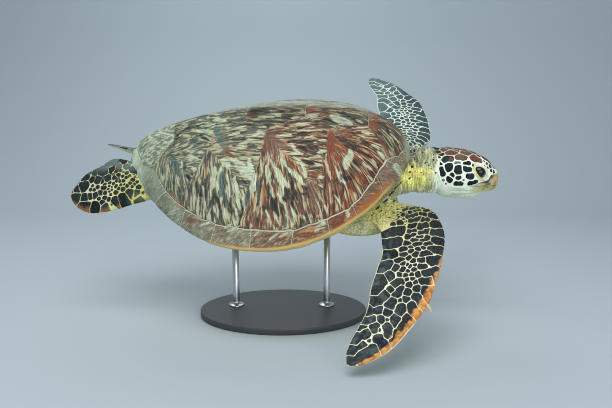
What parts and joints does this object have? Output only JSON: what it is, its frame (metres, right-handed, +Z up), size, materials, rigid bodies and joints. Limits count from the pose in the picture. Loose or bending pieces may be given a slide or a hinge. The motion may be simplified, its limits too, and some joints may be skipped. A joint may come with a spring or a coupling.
{
  "type": "green sea turtle, life-size display model",
  "caption": "Life-size green sea turtle in a banked swimming pose with front flippers spread, held on rods over a flat display base.",
  "frame": {"origin": "centre of the display base underside, on the floor, under the middle of the body", "axes": "+X towards the turtle's head, +Y towards its left flipper, +Z up"},
  "size_m": [1.358, 1.0426, 0.7994],
  "materials": {
    "skin_head": "scaled, satin",
    "skin_pale": "wrinkled, satin",
    "skin_limb": "scaled, satin",
    "eye": "gloss",
    "claw": "satin",
    "scute": "satin, streaked",
    "scute_rim": "satin, streaked",
    "plastron": "satin",
    "stand_base": "satin",
    "stand_rod": "brushed"
  },
  "bodies": {
    "root": {"head": "skin_head", "lower_jaw": "skin_pale", "neck": "skin_pale", "trunk": "skin_pale", "tail": "skin_limb", "flipper_front_right": "skin_limb", "flipper_front_left": "skin_limb", "flipper_hind_right": "skin_limb", "flipper_hind_left": "skin_limb", "eye_right": "eye", "eye_left": "eye", "claw_front_right": "claw", "claw_front_left": "claw", "claw_hind_right": "claw", "claw_hind_left": "claw", "carapace_vertebrals": "scute", "carapace_costals_left": "scute", "carapace_costals_right": "scute", "carapace_marginals_left": "scute_rim", "carapace_marginals_right": "scute_rim", "plastron": "plastron", "stand_base": "stand_base", "stand_rod_front": "stand_rod", "stand_rod_rear": "stand_rod"}
  },
  "joints": []
}
